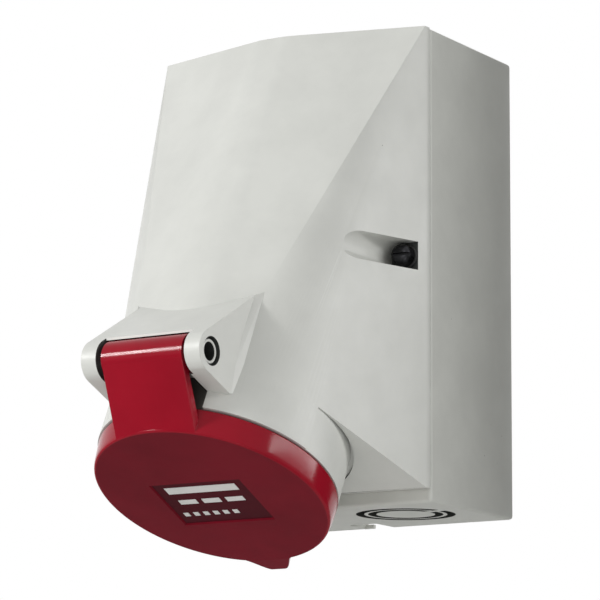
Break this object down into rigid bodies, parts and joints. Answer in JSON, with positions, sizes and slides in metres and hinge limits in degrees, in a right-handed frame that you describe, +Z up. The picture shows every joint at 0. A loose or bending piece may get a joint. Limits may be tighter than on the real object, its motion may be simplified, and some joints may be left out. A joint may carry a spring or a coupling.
{
  "type": "industrial wall socket",
  "caption": "Surface-mounted industrial wall socket: grey box and faceted hood with a tilted round outlet, closed by a sprung red lid on a hinge.",
  "frame": {"origin": "centre of the back face, on the wall", "axes": "+Y into the wall, +Z up, +X to the right as seen from the front; the outlet faces down and forward"},
  "size_m": [0.104, 0.1502, 0.1805],
  "materials": {
    "housing_grey": "satin moulded light grey plastic",
    "lid_red": "glossy dark red moulded plastic",
    "rubber_black": "matte",
    "spring_steel": "drawn wire",
    "carrier_black": "matte",
    "contact_brass": "turned",
    "screw_steel": "plated",
    "blackened_steel": "blackened"
  },
  "bodies": {
    "housing": {"back_box": "housing_grey", "hood": "housing_grey", "box_seal": "rubber_black", "hinge_pin": "housing_grey", "contact_carrier": "carrier_black", "carrier_seal": "rubber_black", "carrier_back_plate": "carrier_black", "cover_screw_left": "blackened_steel", "cover_screw_right": "blackened_steel", "cover_washer_left": "rubber_black", "cover_washer_right": "rubber_black", "carrier_screw_left": "screw_steel", "carrier_screw_right": "screw_steel", "contact_sleeve_pe": "contact_brass", "terminal_screw_pe": "screw_steel", "contact_sleeve_l1": "contact_brass", "terminal_screw_l1": "screw_steel", "contact_sleeve_l2": "contact_brass", "terminal_screw_l2": "screw_steel", "contact_sleeve_l3": "contact_brass", "terminal_screw_l3": "screw_steel", "contact_sleeve_n": "contact_brass", "terminal_screw_n": "screw_steel"},
    "lid": {"lid": "lid_red", "lid_gasket": "rubber_black", "lid_spring": "spring_steel"}
  },
  "joints": [
    {"name": "lid_hinge", "type": "hinge", "parent": "housing", "child": "lid", "pos_m": [0, -0.14328, -0.04009], "axis": [-1, 0, 0], "range_deg": [0, 105], "stiffness_Nm_per_rad": 0.03, "springref_deg": -68.75}
  ]
}
